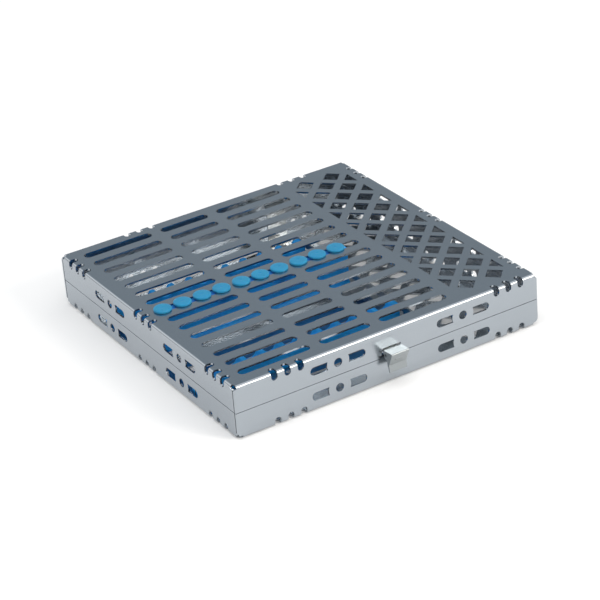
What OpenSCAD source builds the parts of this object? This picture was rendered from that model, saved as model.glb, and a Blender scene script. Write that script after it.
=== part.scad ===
// Dental instrument cassette: perforated steel base and hinged lid,
// silicone instrument racks, a silicone hold-down strip and a snap latch.
// Millimetres. +X right, +Y towards the hinges, +Z up.
// The origin is the centre of the base's underside.

/* [Box] */
// Width over the left and right walls
box_w = 184; // [172:1:210]
// Depth over the front and back walls
box_d = 185; // [170:1:210]
// Height with the lid closed
box_h = 30; // [28:0.5:36]
// Height of the seam between base and lid
seam_z = 15; // [14:0.5:16]
// Gap at the seam
seam_gap = 0.3; // [0.3:0.05:0.6]
// Thickness of the sheet steel
sheet = 1; // [0.8:0.1:1.2]
// Outer radius of the folds
fold_r = 1.8; // [1.5:0.1:2.2]
// Slit left open where two folded walls meet
corner_slit = 0.5; // [0.3:0.1:1]
// Radius of the free corners of the base's front and back walls
base_corner_r = 2.5; // [1:0.5:4]
// Radius of the free corners of the lid's front and back walls
lid_corner_r = 1.2; // [0.6:0.1:3]
// Length of fold left out at each end, beyond the wall's corner radius
corner_relief = 0.5; // [0.3:0.1:1.5]
// Radius of the free corners of the side walls
side_corner_r = 0.4; // [0.2:0.1:1]

/* [Long slots] */
// Width of a long slot
slot_w = 5.6; // [5:0.2:6.4]
// Length of the slots in the left column
slot_len_left = 41.5; // [41:0.5:44]
// Length of the slots in the middle column
slot_len_middle = 29.6; // [29:0.2:32]
// Length of the slots in the right column
slot_len_right = 40.8; // [36:0.2:42]
// Steel left between two slot columns
slot_bridge = 6.3; // [5.8:0.1:8]
// Steel left between the left wall and the first column
slot_margin = 9.1; // [8.5:0.1:11]
// Distance from one slot row to the next
row_pitch = 11.67; // [11:0.01:13]
// Least distance from a wall to the nearest row
row_margin = 9.5; // [9:0.5:14]

/* [Diamond mesh] */
// Steel left between the last slot column and the mesh
mesh_gap = 7.2; // [6.8:0.2:10]
// Steel left between the mesh and the right wall
mesh_margin = 8.1; // [7:0.1:12]
// Distance between neighbouring diamond columns
mesh_pitch_x = 8.9; // [8:0.1:11]
// Distance between neighbouring half rows
mesh_pitch_y = 8.7; // [8:0.1:11]
// Tip to tip size of one diamond
diamond_size = 11.6; // [9:0.2:12.4]

/* [Fold notches] */
// Width of a notch
notch_w = 3.6; // [2:0.1:4]
// Reach of a notch from the fold, on each face
notch_reach = 4.5; // [3.4:0.1:5]
// Distance between the three notches of a group
notch_pitch = 7.65; // [6:0.05:9]
// Sideways shift of the front pattern
front_shift = 6.4; // [0:0.2:8]
// Sideways shift of the back notch groups
back_shift = 5.4; // [0:0.2:8]
// Distance of the outer front notch groups from the side walls, before the shift
front_notch_inset = 24.6; // [22:0.2:32]
// Distance of the outer back notch groups from the side walls, before the shift
back_notch_inset = 42.2; // [32:0.2:46]
// Distance of the outer notch groups of the side walls from the corners
side_notch_inset = 18.9; // [16.5:0.1:26]

/* [Wall vents] */
// Height of a wall vent
vent_h = 4.6; // [3:0.2:5.4]
// Diameter of the hole in the middle of a vent group
vent_hole_d = 4.8; // [3:0.2:5.6]
// Distance from the middle of a group to its far end
vent_reach = 16.4; // [13:0.2:18]
// Radius of the steel left round the middle hole
vent_collar_r = 6.6; // [4.5:0.1:8]
// Height of the vents above the underside, or below the lid's face
vent_z = 7.8; // [7:0.1:9]
// Front vent groups, out from the middle of the pattern
front_vent_x = 38.2; // [32:0.2:44]
// Side vent groups, out from the middle of the wall
side_vent_y = 37.4; // [32:0.2:42]

/* [Hold-down strip] */
// Diameter of the stud heads
stud_head_d = 9.8; // [8:0.2:11]
// Thickness of the stud heads
stud_head_h = 1.5; // [1:0.1:2.4]
// Share of a stud head's height that is rounded off
stud_rounding = 0.45; // [0.2:0.05:0.6]
// Diameter of the stud necks in the slots
stud_neck_d = 4.4; // [3:0.2:4.8]
// Distance from one stud to the next
stud_pitch = 11.8; // [11.2:0.1:12]
// Width of the flange under the lid
strip_flange_w = 9; // [7:0.5:11]
// Thickness of the flange
strip_flange_t = 1.8; // [1:0.1:3]
// Thickness of the hanging web
strip_web_t = 3; // [2:0.1:4]
// Diameter of the bead at the web's lower edge
strip_bead_d = 5; // [3.4:0.2:6]
// Height of the web's lower edge above the underside
strip_low_z = 5; // [4:0.5:12]
// How far the strip reaches past its end studs
strip_end = 6.6; // [5.4:0.2:7.2]

/* [Instrument racks] */
// Gap between the racks and the left wall
rack_wall_gap = 1.5; // [1:0.25:2]
// Thickness of the silicone comb
comb_t = 7; // [5:0.5:9]
// Height of the comb's tips above the underside
comb_top_z = 15; // [14:0.5:19]
// Height of the bottoms of its notches
comb_notch_z = 11.5; // [9.5:0.5:12.5]
// Width of an instrument notch
comb_notch_w = 8.2; // [6:0.2:9]
// Distance from one notch to the next
comb_pitch = 11.5; // [11:0.1:11.9]
// Height of the steel blade inside the comb
blade_h = 7.5; // [5:0.5:7.5]
// Clearance between blade and comb, each side
blade_gap = 0.05; // [0.02:0.01:0.2]
// Width of the rail's foot beyond the blade
rail_foot_w = 9.5; // [9:0.5:12]

/* [Divider] */
// Height of the divider above the floor
divider_h = 12.5; // [10:0.5:18]
// Gap between the ends of the divider and the clip's foot
divider_clip_gap = 9; // [1:0.5:14]
// Clearance between the divider and the ends of the racks
divider_gap = 1; // [0.4:0.1:2]
// Distance of the outer rivets from the divider's ends
divider_rivet_inset = 14; // [10:1:20]
// Length of a wash window
wash_len = 16; // [10:1:18]
// Steel left between two wash windows
wash_bridge = 6; // [3:0.5:7]
// Least steel left at the ends of the divider
wash_margin = 3; // [2:0.5:8]
// Height of a wash window
wash_h = 4.4; // [3:0.2:5]

/* [Accessory clip] */
// Width of the clip
clip_w = 12; // [8:0.5:14]
// Thickness of the clip's spring steel
clip_t = 0.8; // [0.5:0.1:1]
// Distance from the upright of the clip to the back wall
clip_back = 17.5; // [16.5:0.25:18]
// Gap between the clip and the lid
clip_lid_gap = 2; // [1:0.25:6]
// Length of the clip's upper arm
clip_arm = 10; // [6:0.5:11.5]
// Size of the clip's bends
clip_bend = 1.5; // [1:0.25:2]

/* [Rivets] */
// Diameter of a rivet's shank
rivet_d = 2.4; // [1.6:0.1:2.8]
// Diameter of a rivet's head
rivet_head_d = 4.4; // [3.4:0.1:5]
// Height of a rivet's head
rivet_head_h = 0.8; // [0.5:0.1:1.2]
// Clearance of a shank in its holes
rivet_gap = 0.05; // [0.02:0.01:0.15]
// Steel left between a rivet by the left wall and the nearest slot
rivet_edge = 1.6; // [1.2:0.1:2]

/* [Hinges] */
// Distance from the middle of each hinge to the nearest side wall
hinge_inset = 24; // [16:1:36]
// Length of a hinge
hinge_len = 22; // [16:1:28]
// Length of the knuckle between the two outer ones
hinge_mid_len = 8; // [5:0.5:10]
// Thickness of a hinge leaf
leaf_t = 0.8; // [0.6:0.1:1]
// Height of a hinge leaf past its knuckle
leaf_h = 6; // [4:0.5:8]
// Radius of a knuckle
knuckle_r = 2.2; // [1.8:0.1:2.6]
// Radius of a hinge pin
hinge_pin_r = 1.2; // [0.9:0.05:1.3]
// Running clearance round a pin
pin_gap = 0.05; // [0.02:0.01:0.1]
// Side gap between knuckles
knuckle_gap = 0.3; // [0.3:0.05:0.6]

/* [Latch] */
// Width of the latch
latch_w = 10.6; // [10:0.2:14]
// Thickness of the latch's sheet
latch_t = 1; // [0.8:0.1:1.2]
// Distance of the latch's ridge from the front wall
latch_out = 7.9; // [7.2:0.1:8.4]
// Radius of the latch's pin
latch_pin_r = 0.7; // [0.5:0.05:0.8]
// Radius of the latch's knuckle and of the bracket's ears
latch_ear_r = 1.2; // [1:0.05:1.25]
// Clearance round the latch in its window
window_gap = 0.4; // [0.3:0.05:0.8]

/* [Hidden] */
$fn = 48;
// How far a cutter reaches past what it cuts
over = 1;
// How far a fold reaches into the sheets beside it
fold_leg = 0.1;

// Places of the slot columns: start and end of each along X
slot_x0 = -box_w / 2 + slot_margin;
slot_x1 = slot_x0 + slot_len_left + slot_bridge;
slot_x2 = slot_x1 + slot_len_middle + slot_bridge;
columns = [
    [slot_x0, slot_x0 + slot_len_left],
    [slot_x1, slot_x1 + slot_len_middle],
    [slot_x2, slot_x2 + slot_len_right]
];
// Places of the slot rows along Y
row_count = floor((box_d - 2 * row_margin) / row_pitch) + 1;
row_start = -row_pitch * (row_count - 1) / 2;
rows = [for (i = [0:row_count - 1]) row_start + i * row_pitch];
// The base's rows lie half a pitch off the lid's
base_rows = [for (i = [0:row_count - 2]) rows[i] + row_pitch / 2];
// The row that holds the studs
stud_y = rows[floor(row_count / 2)];

// The diamond mesh's window and the middle of its lattice
mesh_x0 = columns[2][1] + mesh_gap;
mesh_x1 = box_w / 2 - mesh_margin;
mesh_mid = (mesh_x0 + mesh_x1) / 2;
mesh_cols = floor((mesh_x1 - mesh_x0 + diamond_size) / 2 / mesh_pitch_x);
mesh_rows = floor((box_d / 2 - row_margin - diamond_size / 4) / mesh_pitch_y);

// Steel bridges that carry the rivets
bridge_left = slot_x0 - rivet_edge - rivet_d / 2;
bridge_1 = columns[0][1] + slot_bridge / 2;
bridge_2 = columns[1][1] + slot_bridge / 2;
bridge_3 = columns[2][1] + mesh_gap / 2;

// Studs: right end of the left column, middle column, left end of the right one
stud_inset = slot_w / 2;
stud_xs = concat(
    [for (i = [3:-1:0]) columns[0][1] - stud_inset - i * stud_pitch],
    [for (i = [-1:1]) (columns[1][0] + columns[1][1]) / 2 + i * stud_pitch],
    [for (i = [0:2]) columns[2][0] + stud_inset + i * stud_pitch]
);
strip_x0 = stud_xs[0] - strip_end;
strip_x1 = stud_xs[9] + strip_end;

// Divider and racks
divider_x = strip_x1 + divider_gap;
rack_y = rows[row_count - 4];
rack_x0 = -box_w / 2 + sheet + rack_wall_gap;
rack_x1 = divider_x - divider_gap;
rack_len = rack_x1 - rack_x0;
comb_mid = (stud_xs[0] + stud_xs[9]) / 2;
notch_count = 10;
foot_z = sheet;
foot_top = 2 * sheet;
clip_x = divider_x;
clip_y = box_d / 2 - clip_back;

// Rivets of the rails, the divider and the clip
head_margin = 0.4;
rivet_hole_r = rivet_d / 2 + rivet_gap;
rail_rivet_xs = [bridge_left, bridge_1, bridge_2];
rail_rivet_y = rack_y + comb_t / 2 + rivet_head_d / 2 + head_margin;
rail_rivet_places = [for (s = [-1, 1]) for (x = rail_rivet_xs) [x, s * rail_rivet_y]];
clip_rivet_place = [clip_x, rows[row_count - 2]];
clip_foot_y = clip_rivet_place[1] - rivet_head_d / 2 - head_margin;
divider_len = 2 * (clip_foot_y - divider_clip_gap);
divider_rivet_y = divider_len / 2 - divider_rivet_inset;
divider_rivet_places = [for (i = [-1:1]) [bridge_3, i * divider_rivet_y]];
rivet_places = concat(rail_rivet_places, divider_rivet_places, [clip_rivet_place]);

// Hinge axis
axis_y = box_d / 2 + knuckle_r + seam_gap;
hinge_x = box_w / 2 - hinge_inset;

// Latch, as distances out from the front wall and up from the seam
root_up = 4.1;
root_in = 0.3;
ridge_up = 4.8;
crease_up = -2.2;
crease_back = 3.3;
tip_up = -5.85;
tip_back = 2.7;
axis_out = 2.6;
axis_up = 2.6;
web_back = 1.7;
web_up = 1.4;
web_t = 1.6;
tooth_up = -2.6;
tooth_in = 1.5;
tooth_h = 0.9;
catch_gap = 0.3;
ledge_out = 2.5;
ledge_t = 0.3;
ledge_root_t = 0.9;
catch_t = 0.8;
catch_h = 5;
window_low_up = 2.2;
window_h = 3.2;
window_low = seam_z + window_low_up;
window_top = window_low + window_h;
ear_inset = 2.5;
ear_t = 1;
ear_arm_w = 1.8;
spring_inset = 1.25;
pin_head_t = 0.5;
cheek_t = 0.7;
cheek_in = 1.2;
cheek_low_up = 0.6;
cheek_tip_up = -1.2;
latch_root = [-root_in, seam_z + root_up];
latch_ridge = [latch_out, seam_z + ridge_up];
latch_crease = [latch_out - crease_back, seam_z + crease_up];
latch_tip = [latch_out - tip_back, seam_z + tip_up];
latch_axis = [axis_out, seam_z + axis_up];
latch_web = [latch_out - web_back, seam_z + web_up];
tooth_z = seam_z + tooth_up;
ledge_z = tooth_z + tooth_h + catch_gap;
ear_in = latch_w / 2 - ear_inset;

steel = [0.66, 0.69, 0.72];
steel_dark = [0.5, 0.53, 0.56];
silicone = [0.05, 0.42, 0.72];

// A flat slot with round ends, from x0 to x1
module slot_2d(x0, x1, w) {
    translate([x0 + w / 2, -w / 2]) square([x1 - x0 - w, w]);
    translate([x0 + w / 2, 0]) circle(d = w);
    translate([x1 - w / 2, 0]) circle(d = w);
}

// A straight limb of bent sheet between two points, with round ends
module limb_2d(a, b, t) {
    d = b - a;
    translate(a) {
        rotate(atan2(d[1], d[0])) translate([0, -t / 2]) square([norm(d), t]);
        circle(d = t);
    }
    translate(b) circle(d = t);
}

// The lattice of diamonds, cut off at the window's sides
module mesh_2d() {
    intersection() {
        translate([mesh_x0, -box_d / 2]) square([mesh_x1 - mesh_x0, box_d]);
        for (i = [-mesh_cols:mesh_cols]) {
            for (j = [-mesh_rows:mesh_rows]) {
                if (abs(i + j) % 2 == 0) {
                    translate([mesh_mid + i * mesh_pitch_x, j * mesh_pitch_y])
                        rotate(45)
                            square(diamond_size / sqrt(2), center = true);
                }
            }
        }
    }
}

// The flat face of a tray with its slots, its mesh and its rivet holes
module face_2d(slot_rows, hole_places) {
    difference() {
        square([box_w - 2 * fold_r, box_d - 2 * fold_r], center = true);
        for (y = slot_rows) {
            for (c = columns) {
                translate([0, y]) slot_2d(c[0], c[1], slot_w);
            }
        }
        mesh_2d();
        for (p = hole_places) translate(p) circle(r = rivet_hole_r);
    }
}

// One vent group: a round hole between two slots with hollowed inner ends
module vent_2d() {
    circle(d = vent_hole_d);
    difference() {
        slot_2d(-vent_reach, vent_reach, vent_h);
        circle(r = vent_collar_r);
    }
}

// A wall seen from outside, from the fold up to the seam
module wall_2d(length, height, vents, corner_r) {
    difference() {
        union() {
            translate([-length / 2, fold_r + corner_r])
                square([length, height - fold_r - corner_r]);
            translate([-length / 2 + corner_r, fold_r])
                square([length - 2 * corner_r, corner_r]);
            for (s = [-1, 1]) {
                translate([s * (length / 2 - corner_r), fold_r + corner_r])
                    circle(r = corner_r);
            }
        }
        for (x = vents) translate([x, vent_z]) vent_2d();
    }
}

module wall(length, height, vents, corner_r) {
    rotate([90, 0, 0]) translate([0, 0, -sheet])
        linear_extrude(sheet) wall_2d(length, height, vents, corner_r);
}

// The quarter-round fold under a wall, with short legs that reach into the face and the wall
module fold(length) {
    translate([length / 2, fold_r, fold_r])
        rotate([90, 0, -90])
            linear_extrude(length) {
                intersection() {
                    difference() {
                        circle(r = fold_r);
                        circle(r = fold_r - sheet);
                    }
                    translate([0, -fold_r]) square(fold_r);
                }
                translate([-fold_leg, -fold_r]) square([fold_leg, sheet]);
                translate([fold_r - sheet, 0]) square([sheet, fold_leg]);
            }
}

// The outline of one notch, measured in from a fold
module tongue_2d() {
    translate([-notch_w / 2, -over]) square([notch_w, notch_reach - notch_w / 2 + over]);
    translate([0, notch_reach - notch_w / 2]) circle(d = notch_w);
}

// Three notches that run over a fold, cutting both faces
module notch_group() {
    depth = fold_r + over;
    for (i = [-1:1]) {
        translate([i * notch_pitch, 0, -over]) linear_extrude(depth) tongue_2d();
        translate([i * notch_pitch, depth - over, 0])
            rotate([90, 0, 0]) linear_extrude(depth) tongue_2d();
    }
}

// A folded tray that stands on its face, open at the top
module tray(height, corner_r, slot_rows, hole_places) {
    front_vents = [front_shift - front_vent_x, front_shift + front_vent_x];
    side_len = box_d - 2 * (sheet + corner_slit);
    fold_len = box_w - 2 * max(corner_r + corner_relief, fold_r);
    difference() {
        union() {
            linear_extrude(sheet) face_2d(slot_rows, hole_places);
            translate([0, -box_d / 2, 0]) {
                wall(box_w, height, front_vents, corner_r);
                fold(fold_len);
            }
            translate([0, box_d / 2, 0]) rotate(180) {
                wall(box_w, height, [], corner_r);
                fold(fold_len);
            }
            for (s = [-1, 1]) {
                translate([s * box_w / 2, 0, 0]) rotate(s * 90) {
                    wall(side_len, height, [-side_vent_y, side_vent_y], side_corner_r);
                    fold(side_len - 2 * fold_r);
                }
            }
        }
        for (s = [-1, 1]) {
            translate([front_shift + s * (box_w / 2 - front_notch_inset), -box_d / 2, 0]) notch_group();
            translate([back_shift + s * (box_w / 2 - back_notch_inset), box_d / 2, 0]) rotate(180) notch_group();
            for (i = [-1:1]) {
                translate([s * box_w / 2, i * (box_d / 2 - side_notch_inset), 0]) rotate(s * 90) notch_group();
            }
        }
    }
}

module base_tray() {
    color(steel) tray(seam_z - seam_gap / 2, base_corner_r, base_rows, rivet_places);
}

module lid_tray() {
    lid_h = box_h - seam_z - seam_gap / 2;
    window_w = latch_w + 2 * window_gap;
    color(steel) difference() {
        translate([0, 0, box_h]) mirror([0, 0, 1]) tray(lid_h, lid_corner_r, rows, []);
        translate([0, -box_d / 2 + sheet + over, 0])
            rotate([90, 0, 0])
                linear_extrude(sheet + 2 * over)
                    translate([-window_w / 2, window_low])
                        square([window_w, window_top - window_low]);
    }
}

// A stud: neck through the lid and a thick soft-edged head on top
module stud() {
    edge = stud_head_h * stud_rounding;
    translate([0, 0, box_h - sheet - strip_flange_t / 2])
        cylinder(d = stud_neck_d, h = sheet + strip_flange_t / 2 + stud_head_h / 2);
    translate([0, 0, box_h]) rotate_extrude() {
        square([stud_head_d / 2, stud_head_h - edge]);
        square([stud_head_d / 2 - edge, stud_head_h]);
        intersection() {
            translate([stud_head_d / 2 - edge, stud_head_h - edge]) circle(r = edge);
            square([stud_head_d, stud_head_h]);
        }
    }
}

module hold_down_strip() {
    top = box_h - sheet;
    color(silicone) {
        translate([strip_x0, stud_y, 0]) rotate([90, 0, 90])
            linear_extrude(strip_x1 - strip_x0) {
                translate([-strip_flange_w / 2, top - strip_flange_t])
                    square([strip_flange_w, strip_flange_t]);
                translate([-strip_web_t / 2, strip_low_z + strip_bead_d / 2])
                    square([strip_web_t, top - strip_low_z - strip_bead_d / 2]);
                translate([0, strip_low_z + strip_bead_d / 2]) circle(d = strip_bead_d);
            }
        for (x = stud_xs) translate([x, stud_y, 0]) stud();
    }
}

// Steel rail: a foot on the floor and an upright blade; side is -1 or 1
module rail(side) {
    mirror([0, side < 0 ? 1 : 0, 0]) difference() {
        translate([rack_x0, rack_y, foot_z]) rotate([90, 0, 90])
            linear_extrude(rack_len) {
                translate([-sheet / 2, 0]) square([rail_foot_w + sheet / 2, sheet]);
                translate([-sheet / 2, 0]) square([sheet, blade_h + sheet]);
            }
        for (x = rail_rivet_xs) {
            translate([x, rail_rivet_y, 0]) cylinder(r = rivet_hole_r, h = 3 * sheet);
        }
    }
}

module front_rail() {
    color(steel_dark) rail(-1);
}

module back_rail() {
    color(steel_dark) rail(1);
}

// Silicone comb with a slot below for the rail's blade
module comb(side) {
    color(silicone) translate([0, side * rack_y, 0]) difference() {
        translate([0, comb_t / 2, 0]) rotate([90, 0, 0])
            linear_extrude(comb_t) difference() {
                translate([rack_x0, foot_top])
                    square([rack_len, comb_top_z - foot_top]);
                for (i = [0:notch_count - 1]) {
                    translate([
                        comb_mid + (i - (notch_count - 1) / 2) * comb_pitch,
                        comb_notch_z + comb_notch_w / 2
                    ]) {
                        circle(d = comb_notch_w);
                        translate([-comb_notch_w / 2, 0]) square([comb_notch_w, comb_top_z]);
                    }
                }
            }
        translate([rack_x0 - over, -sheet / 2 - blade_gap, 0])
            cube([
                rack_len + 2 * over,
                sheet + 2 * blade_gap,
                foot_top + blade_h + blade_gap
            ]);
    }
}

module front_comb() {
    comb(-1);
}

module back_comb() {
    comb(1);
}

module divider() {
    wash_pitch = wash_len + wash_bridge;
    wash_count = floor((divider_len - 2 * wash_margin + wash_bridge) / wash_pitch);
    foot_w = bridge_3 - divider_x + rivet_head_d / 2 + head_margin;
    color(steel_dark) difference() {
        union() {
            translate([divider_x, -divider_len / 2, foot_z])
                cube([sheet, divider_len, divider_h]);
            translate([divider_x, -divider_len / 2, foot_z])
                cube([foot_w, divider_len, sheet]);
        }
        translate([divider_x - over, 0, foot_z + divider_h / 2 + sheet])
            rotate([90, 0, 90]) linear_extrude(sheet + 2 * over)
                for (i = [0:wash_count - 1]) {
                    translate([(i - (wash_count - 1) / 2) * wash_pitch, 0])
                        slot_2d(-wash_len / 2, wash_len / 2, wash_h);
                }
        for (p = divider_rivet_places) {
            translate([p[0], p[1], 0]) cylinder(r = rivet_hole_r, h = 3 * sheet);
        }
    }
}

// Spring clip: foot on the floor, upright, and an arm bent back under the lid
module accessory_clip() {
    low = foot_z + clip_t / 2;
    high = box_h - sheet - clip_lid_gap - clip_t / 2;
    arm_end = clip_y + clip_arm;
    color(steel) difference() {
        translate([clip_x - clip_w / 2, 0, 0]) rotate([90, 0, 90])
            linear_extrude(clip_w) {
                limb_2d([clip_foot_y, low], [clip_y - clip_bend, low], clip_t);
                limb_2d([clip_y - clip_bend, low], [clip_y, low + clip_bend], clip_t);
                limb_2d([clip_y, low + clip_bend], [clip_y, high - clip_bend], clip_t);
                limb_2d([clip_y, high - clip_bend], [clip_y + clip_bend, high], clip_t);
                limb_2d([clip_y + clip_bend, high], [arm_end, high], clip_t);
                limb_2d([arm_end, high], [arm_end + clip_bend, high - clip_bend], clip_t);
            }
        translate([clip_rivet_place[0], clip_rivet_place[1], 0])
            cylinder(r = rivet_hole_r, h = 3 * sheet);
    }
}

// Rivet with a flush lower end and a domed head on what it holds
module rivet(place, held) {
    translate([place[0], place[1], 0]) {
        cylinder(d = rivet_d, h = sheet + held + rivet_head_h / 2);
        translate([0, 0, sheet + held]) intersection() {
            cylinder(d = rivet_head_d, h = rivet_head_h);
            dome_r = (pow(rivet_head_d / 2, 2) + pow(rivet_head_h, 2)) / (2 * rivet_head_h);
            translate([0, 0, rivet_head_h - dome_r]) sphere(r = dome_r);
        }
    }
}

module rail_rivets() {
    color(steel) for (p = rail_rivet_places) rivet(p, sheet);
}

module divider_rivets() {
    color(steel) for (p = divider_rivet_places) rivet(p, sheet);
}

module clip_rivet() {
    color(steel) rivet(clip_rivet_place, clip_t);
}

// Leaf that lies on a back wall; up is 1 on the lid and -1 on the base.
// knuckles lists the start and end of each knuckle along X.
module leaf(x, up, knuckles) {
    bore_r = hinge_pin_r + pin_gap;
    plate_low = knuckle_r + seam_gap;
    translate([x, box_d / 2, seam_z]) mirror([0, 0, up < 0 ? 1 : 0]) difference() {
        union() {
            translate([-hinge_len / 2, 0, plate_low]) cube([hinge_len, leaf_t, leaf_h]);
            for (k = knuckles) {
                translate([k[0], 0, 0]) {
                    translate([0, 0, seam_gap]) cube([k[1] - k[0], leaf_t, plate_low]);
                    translate([0, axis_y - box_d / 2, 0]) rotate([0, 90, 0])
                        cylinder(r = knuckle_r, h = k[1] - k[0]);
                }
            }
        }
        translate([-hinge_len, axis_y - box_d / 2, 0]) rotate([0, 90, 0])
            cylinder(r = bore_r, h = 2 * hinge_len);
    }
}

module base_leaf(x) {
    inner = hinge_mid_len / 2 + knuckle_gap;
    color(steel_dark)
        leaf(x, -1, [[-hinge_len / 2, -inner], [inner, hinge_len / 2]]);
}

module lid_leaf(x) {
    color(steel_dark) leaf(x, 1, [[-hinge_mid_len / 2, hinge_mid_len / 2]]);
}

module base_leaf_left() {
    base_leaf(-hinge_x);
}

module base_leaf_right() {
    base_leaf(hinge_x);
}

module lid_leaf_left() {
    lid_leaf(-hinge_x);
}

module lid_leaf_right() {
    lid_leaf(hinge_x);
}

// Pin with a thin head at each end
module hinge_pin(x) {
    head_t = 0.6;
    color(steel) translate([x - hinge_len / 2, axis_y, seam_z]) rotate([0, 90, 0]) {
        cylinder(r = hinge_pin_r, h = hinge_len);
        for (z = [-head_t, hinge_len]) {
            translate([0, 0, z]) cylinder(r = knuckle_r - 0.3, h = head_t);
        }
    }
}

module hinge_pin_left() {
    hinge_pin(-hinge_x);
}

module hinge_pin_right() {
    hinge_pin(hinge_x);
}

// Turns an outline drawn as distance out and height into a piece at the front wall
module at_front(width) {
    translate([width / 2, -box_d / 2, 0]) rotate([90, 0, -90]) linear_extrude(width) children();
}

// Closed end of the latch, between its top and its front
module cheek_2d() {
    face = latch_ridge - latch_crease;
    tip_z = seam_z + cheek_tip_up;
    tip_out = latch_crease[0] + (tip_z - latch_crease[1]) * face[0] / face[1];
    polygon([
        [cheek_in, seam_z + cheek_low_up],
        [tip_out, tip_z],
        latch_ridge,
        [cheek_in, latch_root[1]]
    ]);
}

module latch_lever() {
    lip = latch_tip - latch_crease;
    tooth_root = latch_crease[0] + (latch_crease[1] - tooth_z - tooth_h / 2) * lip[0] / -lip[1];
    color(steel) difference() {
        union() {
            at_front(latch_w) {
                limb_2d(latch_root, latch_ridge, latch_t);
                limb_2d(latch_ridge, latch_crease, latch_t);
                limb_2d(latch_crease, latch_tip, latch_t);
            }
            for (s = [-1, 1]) {
                translate([s * (latch_w - cheek_t) / 2, 0, 0]) at_front(cheek_t) cheek_2d();
            }
            at_front(2 * (ear_in - window_gap)) {
                translate(latch_axis) circle(r = latch_ear_r);
                limb_2d(latch_axis, latch_web, web_t);
                translate([tooth_in, tooth_z]) square([tooth_root - tooth_in, tooth_h]);
            }
        }
        at_front(2 * latch_w) translate(latch_axis) circle(r = latch_pin_r + pin_gap);
    }
}

module latch_bracket() {
    low = seam_z + seam_gap;
    high = window_low - 0.1;
    pad = 0.8;
    color(steel_dark) difference() {
        union() {
            at_front(2 * (ear_in + ear_t)) translate([0, low]) square([pad, high - low]);
            for (s = [-1, 1]) {
                translate([s * (ear_in + ear_t / 2), 0, 0]) at_front(ear_t) {
                    translate([0, low]) square([1.4, high - low]);
                    limb_2d([ear_arm_w / 2, low + ear_arm_w / 2], latch_axis, ear_arm_w);
                    translate(latch_axis) circle(r = latch_ear_r);
                }
            }
        }
        at_front(2 * latch_w) translate(latch_axis) circle(r = latch_pin_r);
    }
}

module latch_pin() {
    length = 2 * (ear_in + ear_t);
    color(steel) {
        at_front(length) translate(latch_axis) circle(r = latch_pin_r);
        for (s = [-1, 1]) {
            translate([s * (length + pin_head_t) / 2, 0, 0])
                at_front(pin_head_t) translate(latch_axis) circle(r = latch_ear_r - 0.1);
        }
    }
}

// Leaf spring inside the lid, behind the window
module latch_spring() {
    spring_t = 0.4;
    pad_top = box_h - sheet - fold_r;
    color(steel_dark) at_front(latch_w - 2 * spring_inset) {
        translate([-sheet - spring_t, window_top + 0.6])
            square([spring_t, pad_top - window_top - 0.6]);
        limb_2d(
            [-sheet - spring_t / 2, window_top + 0.8],
            [-sheet - spring_t / 2 - 0.2, window_top - 0.6],
            spring_t
        );
        limb_2d(
            [-sheet - spring_t / 2 - 0.2, window_top - 0.6],
            [-sheet - spring_t / 2 - 0.2, window_low + 0.6],
            spring_t
        );
    }
}

// Catch on the base's front wall; the latch's tooth lies under its ledge
module latch_catch() {
    color(steel_dark) at_front(2 * (ear_in - window_gap)) {
        translate([0, ledge_z - catch_h]) square([catch_t, catch_h]);
        polygon([
            [0, ledge_z],
            [ledge_out, ledge_z],
            [ledge_out, ledge_z + ledge_t],
            [0, ledge_z + ledge_root_t]
        ]);
    }
}

base_tray();
lid_tray();
hold_down_strip();
front_rail();
back_rail();
front_comb();
back_comb();
divider();
accessory_clip();
rail_rivets();
divider_rivets();
clip_rivet();
base_leaf_left();
base_leaf_right();
lid_leaf_left();
lid_leaf_right();
hinge_pin_left();
hinge_pin_right();
latch_lever();
latch_bracket();
latch_pin();
latch_spring();
latch_catch();
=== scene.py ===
"""Looks of the dental instrument cassette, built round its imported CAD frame. Metres, the CAD's axes."""

import math

import bmesh
import bpy
from mathutils import Matrix, Vector


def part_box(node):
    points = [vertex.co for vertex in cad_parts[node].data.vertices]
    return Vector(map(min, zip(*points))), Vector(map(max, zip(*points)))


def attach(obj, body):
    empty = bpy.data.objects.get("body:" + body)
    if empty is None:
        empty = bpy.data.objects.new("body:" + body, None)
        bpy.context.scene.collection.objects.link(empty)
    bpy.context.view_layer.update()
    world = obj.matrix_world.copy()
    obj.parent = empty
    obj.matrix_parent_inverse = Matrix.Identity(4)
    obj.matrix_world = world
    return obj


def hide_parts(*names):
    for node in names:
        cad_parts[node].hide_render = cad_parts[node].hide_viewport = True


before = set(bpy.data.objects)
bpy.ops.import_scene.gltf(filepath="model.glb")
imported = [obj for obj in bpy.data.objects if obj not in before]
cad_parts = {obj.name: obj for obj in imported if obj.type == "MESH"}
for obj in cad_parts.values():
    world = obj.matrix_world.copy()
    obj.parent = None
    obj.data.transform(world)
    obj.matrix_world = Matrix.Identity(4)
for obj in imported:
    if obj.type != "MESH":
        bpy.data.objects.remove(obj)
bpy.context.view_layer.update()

MM = 0.001
SMOOTH_LIMIT = 32

# Camera, solved from the corners of the box in the photograph
CAMERA_AZIMUTH = math.radians(29.81)
CAMERA_ELEVATION = math.radians(27.71)
CAMERA_ROLL = math.radians(-4.859)
CAMERA_DISTANCE = 1.230
CAMERA_LENS = 137.65
SENSOR_WIDTH = 36
IMAGE_SIZE = 600
PRINCIPAL_X = 294.8
PRINCIPAL_Y = 288.7

# Surroundings
FLOOR_SIZE = 24.0
FLOOR_DROP = 0.0002
FLOOR_ALBEDO = 0.9
FLOOR_LIFT = 0.04
SKY_LOW = 0.68
SKY_HIGH = 1.2
SKY_RISE = (0.1, 0.9)
SKY_DARK = 0.4
DARK_BASE = (0.06, 0.2)
DARK_EDGE = (0.72, 0.92)
DARK_DIRECTION = Vector((0.44, 0.77, 0.465)).normalized()

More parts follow.
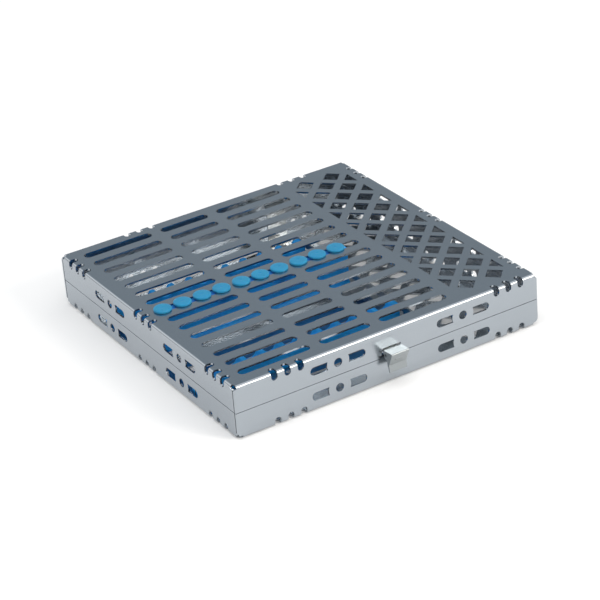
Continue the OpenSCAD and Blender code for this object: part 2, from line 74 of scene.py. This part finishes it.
# Colours, linear
WHITE = (1.0, 1.0, 1.0)
WARM = (1.0, 0.94, 0.86)
COOL = (0.88, 1.0, 1.1)
STEEL_TRAY = (0.385, 0.42, 0.455)
STEEL_RAIL = (0.34, 0.37, 0.4)
STEEL_BRIGHT = (0.6, 0.62, 0.62)
STEEL_LATCH = (0.315, 0.34, 0.35)
# One silicone in two copies coloured for the light: the studs' colour for their lit heads, the body's for
# the shaded strip and combs.
SILICONE_LIT_STUDS = (0.006, 0.225, 0.42)
SILICONE_SHADED_BODY = (0.005, 0.36, 0.9)
# Painted shade: the deeper blue laid into the silicone's creases.
SILICONE_CREASE_SHADE = (0.003, 0.14, 0.5)
LINT = (0.3, 0.55, 0.74)

# Lamps, all aimed at the origin: name, place, diameter, power, colour
LAMPS = (
    ("softbox", (-0.3, -0.2, 1.6), 0.9, 3.0, WHITE),
    ("window", (0.79, -1.39, 0.84), 0.75, 14.0, WARM),
    ("rim", (-0.84, 1.39, 0.8), 0.8, 0.6, WHITE),
)

# Steels: name, colour, roughness, grain per metre on each axis, strength of the painted highlight and
# polish on sharp edges, nodes
STEELS = (
    ("tray_steel", STEEL_TRAY, 0.23, (60, 2600, 2600), 0.2, ("base_tray", "lid_tray")),
    (
        "rail_steel", STEEL_RAIL, 0.32, (80, 2400, 2400), 0.5,
        ("front_rail", "back_rail", "divider", "latch_bracket", "latch_catch"),
    ),
    ("spring_steel", STEEL_BRIGHT, 0.2, (2400, 90, 2400), 0.5, ("accessory_clip", "latch_spring")),
    ("latch_steel", STEEL_LATCH, 0.36, (90, 2600, 2600), 0.3, ("latch_lever",)),
    (
        "fitting_steel", STEEL_RAIL, 0.3, (300, 1800, 1800), 0.5,
        (
            "rail_rivets", "divider_rivets", "clip_rivet", "latch_pin",
            "base_leaf_left", "base_leaf_right", "lid_leaf_left", "lid_leaf_right",
            "hinge_pin_left", "hinge_pin_right",
        ),
    ),
)

# Spans of noise and of the geometry's pointiness that carry the marks, the painted highlight on sharp
# edges and the painted shade in creases
NOISE_SPAN = (0.3, 0.7)
SMEAR_SPAN = (0.35, 0.75)
LINT_SPAN = (0.66, 0.78)
EDGE_SPAN = (0.52, 0.6)
CREASE_SHADE_SPAN = (0.42, 0.5)


def new_material(name):
    """An empty node material and its shader node."""
    material = bpy.data.materials.new(name)
    material.use_nodes = True
    tree = material.node_tree
    tree.nodes.clear()
    output = tree.nodes.new("ShaderNodeOutputMaterial")
    shader = tree.nodes.new("ShaderNodeBsdfPrincipled")
    tree.links.new(shader.outputs["BSDF"], output.inputs["Surface"])
    return material, tree, shader


def add_node(tree, kind, links=None, **values):
    """A node with its settings; links maps an input to an output socket, values an input to a number."""
    node = tree.nodes.new(kind)
    for name, value in values.items():
        if name in node.inputs:
            node.inputs[name].default_value = value
        else:
            setattr(node, name, value)
    for name, socket in (links or {}).items():
        tree.links.new(socket, node.inputs[name])
    return node


def stretched_coordinates(tree, scale):
    """Object coordinates scaled on each axis, so that a noise on them runs along one of them."""
    place = add_node(tree, "ShaderNodeTexCoord")
    mapping = add_node(tree, "ShaderNodeMapping", {"Vector": place.outputs["Object"]}, Scale=scale)
    return mapping.outputs["Vector"]


def noise(tree, vector, scale, detail, roughness):
    node = add_node(tree, "ShaderNodeTexNoise", {"Vector": vector}, Scale=scale, Detail=detail)
    node.inputs["Roughness"].default_value = roughness
    return node.outputs["Fac"]


def remap(tree, socket, span, result, interpolation="LINEAR"):
    """The socket's values over a span, clamped and spread over the result's two ends."""
    node = add_node(tree, "ShaderNodeMapRange", {"Value": socket}, interpolation_type=interpolation)
    for name, value in zip(("From Min", "From Max", "To Min", "To Max"), (*span, *result)):
        node.inputs[name].default_value = value
    return node.outputs["Result"]


def combine(tree, operation, first, second):
    """Math on two sockets, or on a socket and a number."""
    node = add_node(tree, "ShaderNodeMath", operation=operation)
    for index, value in enumerate((first, second)):
        if isinstance(value, (int, float)):
            node.inputs[index].default_value = value
        else:
            tree.links.new(value, node.inputs[index])
    return node.outputs["Value"]


def mix_colour(tree, factor, first, second):
    """A colour between two, each a tuple or a socket."""
    node = add_node(tree, "ShaderNodeMix", data_type="RGBA")
    tree.links.new(factor, node.inputs["Factor"])
    for name, value in (("A", first), ("B", second)):
        socket = next(s for s in node.inputs if s.name == name and s.type == "RGBA")
        if isinstance(value, tuple):
            socket.default_value = (*value, 1.0)
        else:
            tree.links.new(value, socket)
    return next(s for s in node.outputs if s.type == "RGBA")


def shade(colour, factor):
    return tuple(c * factor for c in colour)


def steel(name, colour, roughness, grain, edge_highlight_and_polish):
    """Satin stainless sheet: fine grain along one axis, cloudy handling marks, and sharp edges made
    smoother and painted lighter as a highlight.
    """
    material, tree, shader = new_material(name)
    grain_noise = noise(tree, stretched_coordinates(tree, grain), 1.0, 4.0, 0.65)
    cloud = noise(tree, stretched_coordinates(tree, (1, 1, 1)), 22.0, 3.0, 0.6)
    smear = noise(tree, stretched_coordinates(tree, (3, 1, 1)), 70.0, 4.0, 0.7)
    geometry = add_node(tree, "ShaderNodeNewGeometry")
    edge = remap(tree, geometry.outputs["Pointiness"], EDGE_SPAN, (0.0, edge_highlight_and_polish))
    body = mix_colour(tree, cloud, shade(colour, 0.93), shade(colour, 1.05))
    lined = mix_colour(tree, remap(tree, grain_noise, NOISE_SPAN, (0.0, 0.35)), body, shade(colour, 0.88))
    # Painted highlight: sharp edges take a lighter colour.
    edge_highlighted = mix_colour(tree, edge, lined, shade(colour, 1.2))
    tree.links.new(edge_highlighted, shader.inputs["Base Color"])
    rough = remap(tree, smear, SMEAR_SPAN, (roughness - 0.02, roughness + 0.03))
    rough = combine(tree, "ADD", rough, remap(tree, grain_noise, NOISE_SPAN, (-0.012, 0.012)))
    rough = combine(tree, "SUBTRACT", rough, combine(tree, "MULTIPLY", edge, 0.06))
    tree.links.new(rough, shader.inputs["Roughness"])
    shader.inputs["Metallic"].default_value = 1.0
    bump = add_node(tree, "ShaderNodeBump", {"Height": grain_noise}, Strength=0.06, Distance=0.04 * MM)
    tree.links.new(bump.outputs["Normal"], shader.inputs["Normal"])
    return material


def silicone(name, colour, crease_shade_colour):
    """Moulded silicone: soft scatter, a matt skin with cloudy gloss, faint flow grain and lint, and
    painted shade of a deeper blue in its creases.
    """
    material, tree, shader = new_material(name)
    even = stretched_coordinates(tree, (1, 1, 1))
    cloud = noise(tree, even, 60.0, 3.0, 0.6)
    fine = noise(tree, even, 1500.0, 3.0, 0.6)
    lint = noise(tree, stretched_coordinates(tree, (1, 4, 1)), 420.0, 2.0, 0.4)
    geometry = add_node(tree, "ShaderNodeNewGeometry")
    # Painted shade: creases and hollows turn a deeper blue.
    crease_shade = remap(tree, geometry.outputs["Pointiness"], CREASE_SHADE_SPAN, (1.0, 0.0))
    clouded = remap(tree, cloud, NOISE_SPAN, (0.0, 1.0))
    body = mix_colour(tree, clouded, shade(colour, 0.92), shade(colour, 1.06))
    dusted = mix_colour(tree, remap(tree, lint, LINT_SPAN, (0.0, 0.35)), body, LINT)
    tree.links.new(mix_colour(tree, crease_shade, dusted, crease_shade_colour), shader.inputs["Base Color"])
    tree.links.new(remap(tree, cloud, NOISE_SPAN, (0.38, 0.52)), shader.inputs["Roughness"])
    shader.inputs["Subsurface Weight"].default_value = 0.25
    shader.inputs["Subsurface Radius"].default_value = (0.2, 0.6, 1.0)
    shader.inputs["Subsurface Scale"].default_value = 1.2 * MM
    shader.inputs["IOR"].default_value = 1.42
    shader.inputs["Sheen Weight"].default_value = 0.08
    bump = add_node(tree, "ShaderNodeBump", {"Height": fine}, Strength=0.12, Distance=0.03 * MM)
    tree.links.new(bump.outputs["Normal"], shader.inputs["Normal"])
    return material


def dress(nodes, material):
    """Gives CAD nodes a material in place of their own."""
    for name in nodes:
        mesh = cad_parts[name].data
        mesh.materials.clear()
        mesh.materials.append(material)


def smooth_by_angle(mesh):
    """Smooth shading with sharp edges where faces meet at more than the limit."""
    work = bmesh.new()
    work.from_mesh(mesh)
    limit = math.radians(SMOOTH_LIMIT)
    for face in work.faces:
        face.smooth = True
    for edge in work.edges:
        edge.smooth = edge.calc_face_angle(math.pi) < limit
    work.to_mesh(mesh)
    work.free()


def new_object(name, work, material):
    """An object from a bmesh, which is freed."""
    bmesh.ops.recalc_face_normals(work, faces=work.faces)
    mesh = bpy.data.meshes.new(name)
    work.to_mesh(mesh)
    work.free()
    item = bpy.data.objects.new(name, mesh)
    bpy.context.scene.collection.objects.link(item)
    mesh.materials.append(material)
    return item


def prism(outline, start, end, to_world):
    """A closed bmesh swept straight from start to end; to_world turns (u, v, along) into a point."""
    work = bmesh.new()
    near = [work.verts.new(to_world(u, v, start)) for u, v in outline]
    far = [work.verts.new(to_world(u, v, end)) for u, v in outline]
    work.faces.new(near)
    work.faces.new(list(reversed(far)))
    count = len(outline)
    for i in range(count):
        j = (i + 1) % count
        work.faces.new((near[j], near[i], far[i], far[j]))
    return work


def arc(centre, radius, start, end, steps):
    """Points on an arc, both ends included, angles in degrees."""
    points = []
    for i in range(steps + 1):
        angle = math.radians(start + (end - start) * i / steps)
        points.append((centre[0] + radius * math.cos(angle), centre[1] + radius * math.sin(angle)))
    return points


def lathe(profile, centre, steps):
    """A closed bmesh turned about a vertical axis; the profile runs from axis to axis."""
    on_axis = 1e-7
    work = bmesh.new()
    rings = []
    for radius, height in profile:
        if radius < on_axis:
            rings.append([work.verts.new((centre[0], centre[1], height))])
            continue
        ring = []
        for i in range(steps):
            angle = 2 * math.pi * i / steps
            ring.append(work.verts.new((
                centre[0] + radius * math.cos(angle),
                centre[1] + radius * math.sin(angle),
                height,
            )))
        rings.append(ring)
    for lower, upper in zip(rings, rings[1:]):
        for i in range(steps):
            j = (i + 1) % steps
            corners = [ring[k % len(ring)] for ring, k in ((lower, i), (lower, j), (upper, j), (upper, i))]
            distinct = list(dict.fromkeys(corners))
            if len(distinct) > 2:
                work.faces.new(distinct)
    return work


def apply_modifiers(item):
    """Puts the modifiers' result into the object's own mesh."""
    bpy.context.view_layer.update()
    graph = bpy.context.evaluated_depsgraph_get()
    made = bpy.data.meshes.new_from_object(item.evaluated_get(graph))
    item.modifiers.clear()
    old = item.data
    item.data = made
    bpy.data.meshes.remove(old)


def bevel(item, width, segments, degrees):
    """Rounds the edges that are sharper than the angle."""
    modifier = item.modifiers.new("edges", "BEVEL")
    modifier.width = width
    modifier.segments = segments
    modifier.limit_method = "ANGLE"
    modifier.angle_limit = math.radians(degrees)
    apply_modifiers(item)


def boolean(item, other, operation):
    """Joins another object to this one or cuts it away, and deletes the other."""
    modifier = item.modifiers.new("shape", "BOOLEAN")
    modifier.operation = operation
    modifier.solver = "EXACT"
    modifier.material_mode = "TRANSFER"
    modifier.object = other
    apply_modifiers(item)
    bpy.data.objects.remove(other)


def make_comb(name, node, material):
    """A silicone comb with rounded edges, flared notch mouths and a slot below for the rail's blade."""
    low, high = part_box(node)
    count = 10
    pitch = 11.5 * MM
    notch_radius = 4.1 * MM
    notch_floor = 11.5 * MM
    notch_mid = -26.2 * MM
    flare = 0.35 * MM
    flare_depth = 0.9 * MM
    rounding = 0.45 * MM
    blade_width = 1.1 * MM
    blade_top = 9.55 * MM
    end = math.degrees(math.asin((notch_floor + notch_radius - high.z + flare_depth) / notch_radius))
    outline = [(low.x, low.z), (high.x, low.z), (high.x, high.z)]
    for i in reversed(range(count)):
        x = notch_mid + (i - (count - 1) / 2) * pitch
        outline.append((x + notch_radius + flare, high.z))
        outline.extend(arc((x, notch_floor + notch_radius), notch_radius, -end, end - 180, 18))
        outline.append((x - notch_radius - flare, high.z))
    outline.append((low.x, high.z))
    item = new_object(name, prism(outline, low.y, high.y, lambda u, v, w: (u, w, v)), material)
    bevel(item, rounding, 3, 30)
    middle = (low.y + high.y) / 2
    past = 2 * MM
    slot_outline = [
        (middle - blade_width / 2, low.z - past),
        (middle + blade_width / 2, low.z - past),
        (middle + blade_width / 2, blade_top),
        (middle - blade_width / 2, blade_top),
    ]
    cutter = prism(slot_outline, low.x - past, high.x + past, lambda u, v, w: (w, u, v))
    boolean(item, new_object("cutter", cutter, material), "DIFFERENCE")
    smooth_by_angle(item.data)
    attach(item, "base")
    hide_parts(node)


def stud_profile(lid_top, head_height, head_radius, neck_radius):
    """Outline of one stud from its root to the middle of its slightly crowned and dimpled head."""
    edge = 0.65 * MM
    crown = 0.08 * MM
    dimple_radius = 0.9 * MM
    dimple_depth = 0.12 * MM
    dimple_lip = 0.01 * MM
    root = lid_top - 2.2 * MM
    seat = lid_top + 0.02 * MM
    top = lid_top + head_height
    under = 0.25 * MM
    profile = [(0.0, root), (neck_radius, root), (neck_radius, seat)]
    profile.append((head_radius - under, seat))
    profile.append((head_radius, lid_top + under))
    profile.extend(arc((head_radius - edge, top - crown - edge), edge, 0, 90, 5))
    for share in (0.75, 0.5, 0.3):
        profile.append((head_radius * share, top - crown * share ** 2))
    profile.append((dimple_radius, top - dimple_lip))
    profile.append((dimple_radius * 0.6, top - dimple_depth))
    profile.append((0.0, top - dimple_depth))
    return profile


def make_strip(name, node, material, lit_stud_material):
    """The hold-down strip with its hanging web, beaded lower edge and ten studs."""
    low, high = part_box(node)
    lid_top = 30.0 * MM
    lid_under = 29.0 * MM
    flange_half = 4.5 * MM
    flange_low = lid_under - 1.8 * MM
    web_half = 1.5 * MM
    chamfer = 0.5 * MM
    fillet = 0.8 * MM
    rounding = 0.3 * MM
    bead_radius = 2.5 * MM
    bead_z = low.z + bead_radius
    stud_radius = 4.9 * MM
    neck_radius = 2.2 * MM
    places = [x * MM for x in (-79.6, -67.8, -56.0, -44.2, -32.1, -20.3, -8.5, 3.6, 15.4, 27.2)]
    join = math.degrees(math.asin(web_half / bead_radius))
    outline = [(-flange_half, lid_under), (-flange_half, flange_low + chamfer)]
    outline += [(-flange_half + chamfer, flange_low), (-web_half - fillet, flange_low)]
    outline += [(-web_half, flange_low - fillet)]
    outline += arc((0, bead_z), bead_radius, 90 + join, 450 - join, 26)
    outline += [(web_half, flange_low - fillet), (web_half + fillet, flange_low)]
    outline += [(flange_half - chamfer, flange_low), (flange_half, flange_low + chamfer)]
    outline += [(flange_half, lid_under)]
    body = prism(outline, low.x, high.x, lambda u, v, w: (w, u, v))
    item = new_object(name, body, material)
    bevel(item, rounding, 2, 60)
    profile = stud_profile(lid_top, high.z - lid_top, stud_radius, neck_radius)
    for x in places:
        boolean(item, new_object("stud", lathe(profile, (x, 0.0), 48), lit_stud_material), "UNION")
    smooth_by_angle(item.data)
    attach(item, "lid")
    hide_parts(node)


def floor_material():
    """A pale matt floor that shows white to the camera and in reflections, and keeps the shadow."""
    material, tree, shader = new_material("floor")
    shader.inputs["Base Color"].default_value = (FLOOR_ALBEDO, FLOOR_ALBEDO, FLOOR_ALBEDO, 1.0)
    shader.inputs["Roughness"].default_value = 0.9
    shader.inputs["Specular IOR Level"].default_value = 0.0
    path = add_node(tree, "ShaderNodeLightPath")
    seen = combine(tree, "MAXIMUM", path.outputs["Is Camera Ray"], path.outputs["Is Glossy Ray"])
    seen = combine(tree, "MAXIMUM", seen, path.outputs["Is Transmission Ray"])
    tree.links.new(combine(tree, "MULTIPLY", seen, FLOOR_LIFT), shader.inputs["Emission Strength"])
    shader.inputs["Emission Color"].default_value = (*WHITE, 1.0)
    return material


def make_floor():
    work = bmesh.new()
    bmesh.ops.create_grid(work, x_segments=1, y_segments=1, size=FLOOR_SIZE / 2)
    bmesh.ops.translate(work, verts=work.verts, vec=(0, 0, -FLOOR_DROP))
    floor = new_object("floor", work, floor_material())
    if floor.data.polygons[0].normal.z < 0:
        floor.data.flip_normals()


def make_world():
    """A soft studio dome: pale at the horizon, bright overhead, and grey high up behind the object."""
    world = bpy.data.worlds.new("studio")
    bpy.context.scene.world = world
    world.use_nodes = True
    tree = world.node_tree
    tree.nodes.clear()
    output = tree.nodes.new("ShaderNodeOutputWorld")
    background = tree.nodes.new("ShaderNodeBackground")
    tree.links.new(background.outputs["Background"], output.inputs["Surface"])
    place = add_node(tree, "ShaderNodeTexCoord")
    parts = add_node(tree, "ShaderNodeSeparateXYZ", {"Vector": place.outputs["Generated"]})
    sky = remap(tree, parts.outputs["Z"], SKY_RISE, (SKY_LOW, SKY_HIGH))
    dot = add_node(tree, "ShaderNodeVectorMath", {0: place.outputs["Generated"]}, operation="DOT_PRODUCT")
    dot.inputs[1].default_value = DARK_DIRECTION
    near = remap(tree, dot.outputs["Value"], DARK_EDGE, (0.0, 1.0), "SMOOTHSTEP")
    lift = remap(tree, parts.outputs["Z"], DARK_BASE, (0.0, 1.0))
    amount = combine(tree, "MULTIPLY", near, lift)
    open_sky = combine(tree, "MULTIPLY", sky, combine(tree, "SUBTRACT", 1.0, amount))
    level = combine(tree, "ADD", open_sky, combine(tree, "MULTIPLY", amount, SKY_DARK))
    tree.links.new(level, background.inputs["Strength"])
    tree.links.new(mix_colour(tree, amount, WHITE, COOL), background.inputs["Color"])


def make_lamp(name, place, size, power, colour):
    """A disk lamp that faces the origin."""
    data = bpy.data.lights.new(name, "AREA")
    data.shape = "DISK"
    data.size = size
    data.energy = power
    data.color = colour
    lamp = bpy.data.objects.new(name, data)
    bpy.context.scene.collection.objects.link(lamp)
    lamp.location = place
    lamp.rotation_mode = "QUATERNION"
    lamp.rotation_quaternion = (-Vector(place)).to_track_quat("-Z", "Y")


def make_camera():
    """The photograph's camera: left of the front, looking down, rolled a little."""
    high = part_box("lid_tray")[1]
    target = Vector((0.0, 0.0, high.z / 2))
    back = Vector((
        -math.sin(CAMERA_AZIMUTH) * math.cos(CAMERA_ELEVATION),
        -math.cos(CAMERA_AZIMUTH) * math.cos(CAMERA_ELEVATION),
        math.sin(CAMERA_ELEVATION),
    ))
    right = (-back).cross(Vector((0, 0, 1))).normalized()
    up = right.cross(-back)
    turned_right = right * math.cos(CAMERA_ROLL) + up * math.sin(CAMERA_ROLL)
    turned_up = up * math.cos(CAMERA_ROLL) - right * math.sin(CAMERA_ROLL)
    data = bpy.data.cameras.new("camera")
    data.sensor_width = SENSOR_WIDTH
    data.lens = CAMERA_LENS
    data.shift_x = (IMAGE_SIZE / 2 - PRINCIPAL_X) / IMAGE_SIZE
    data.shift_y = (PRINCIPAL_Y - IMAGE_SIZE / 2) / IMAGE_SIZE
    data.clip_start = 0.05
    data.clip_end = 100
    camera = bpy.data.objects.new("camera", data)
    bpy.context.scene.collection.objects.link(camera)
    turn = Matrix((turned_right, turned_up, back)).transposed()
    camera.matrix_world = Matrix.Translation(target + back * CAMERA_DISTANCE) @ turn.to_4x4()
    bpy.context.scene.camera = camera


make_camera()
make_floor()
make_world()
for lamp_name, lamp_place, lamp_size, lamp_power, lamp_colour in LAMPS:
    make_lamp(lamp_name, lamp_place, lamp_size, lamp_power, lamp_colour)
for steel_name, steel_colour, steel_roughness, steel_grain, steel_edge_highlight_and_polish, steel_nodes in STEELS:
    dress(steel_nodes, steel(steel_name, steel_colour, steel_roughness, steel_grain, steel_edge_highlight_and_polish))

# Lit and shaded copies of one silicone: the studs take the lit copy, the combs and the strip's body the
# shaded one.
silicone_lit_studs = silicone("silicone_lit_studs", SILICONE_LIT_STUDS, SILICONE_CREASE_SHADE)
silicone_shaded_body = silicone("silicone_shaded_body", SILICONE_SHADED_BODY, SILICONE_CREASE_SHADE)
make_comb("front_comb_silicone", "front_comb", silicone_shaded_body)
make_comb("back_comb_silicone", "back_comb", silicone_shaded_body)
make_strip("hold_down_silicone", "hold_down_strip", silicone_shaded_body, silicone_lit_studs)

bpy.context.scene.view_settings.view_transform = "Standard"
